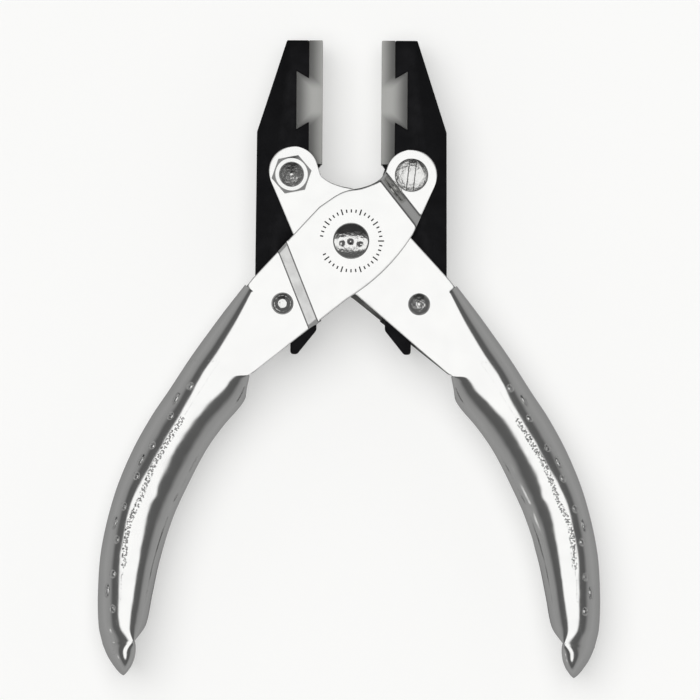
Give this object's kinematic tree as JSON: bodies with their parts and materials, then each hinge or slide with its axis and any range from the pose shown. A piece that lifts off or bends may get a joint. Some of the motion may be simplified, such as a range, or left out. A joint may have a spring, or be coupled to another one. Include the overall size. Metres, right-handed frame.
{
  "type": "flat nose pliers",
  "caption": "Parallel-action flat nose pliers with nylon jaw faces, open wire throat and pressed channel handles, shown fully open.",
  "frame": {"origin": "centre of the handles' common pivot, halfway through the tool's thickness, which is also the centre of the open wire throat", "axes": "+Y from the pivot towards the jaw tips, +Z out of the front face with the raised cheek of the left handle, +X to the right seen from the front"},
  "size_m": [0.1008, 0.1272, 0.0164],
  "materials": {
    "bright_plated_steel": "bright nickel plate over pressed sheet steel",
    "blackened_steel": "matt black oxide",
    "natural_nylon": "machined natural nylon, slightly translucent",
    "rivet_steel": "peened steel",
    "screw_steel": "turned steel",
    "nut_plating": "bright plated"
  },
  "bodies": {
    "handle_left": {"handle_left": "bright_plated_steel", "centre_rivet_front": "rivet_steel", "pivot_screw_right": "screw_steel", "pivot_nut_right": "nut_plating", "guide_pin_left": "rivet_steel"},
    "handle_right": {"handle_right": "bright_plated_steel", "centre_rivet_rear": "rivet_steel", "pivot_screw_left": "screw_steel", "pivot_nut_left": "nut_plating", "guide_pin_right": "rivet_steel"},
    "jaw_left": {"jaw_left": "blackened_steel", "nylon_insert_left": "natural_nylon"},
    "jaw_right": {"jaw_right": "blackened_steel", "nylon_insert_right": "natural_nylon"}
  },
  "joints": [
    {"name": "handle_pivot", "type": "hinge", "parent": "handle_left", "child": "handle_right", "pos_m": [0, 0, 0], "axis": [0, 0, -1], "range_deg": [0, 44.4]},
    {"name": "jaw_right_pivot", "type": "hinge", "parent": "handle_left", "child": "jaw_right", "pos_m": [0.01193, 0.01315, 0], "axis": [0, 0, -1], "range_deg": [0, 22.2]},
    {"name": "jaw_left_pivot", "type": "hinge", "parent": "handle_right", "child": "jaw_left", "pos_m": [-0.01193, 0.01315, 0], "axis": [0, 0, 1], "range_deg": [0, 22.2]}
  ],
  "couplings": [
    {"joint": "jaw_right_pivot", "follows": "handle_pivot", "ratio": 0.5},
    {"joint": "jaw_left_pivot", "follows": "handle_pivot", "ratio": 0.5}
  ]
}
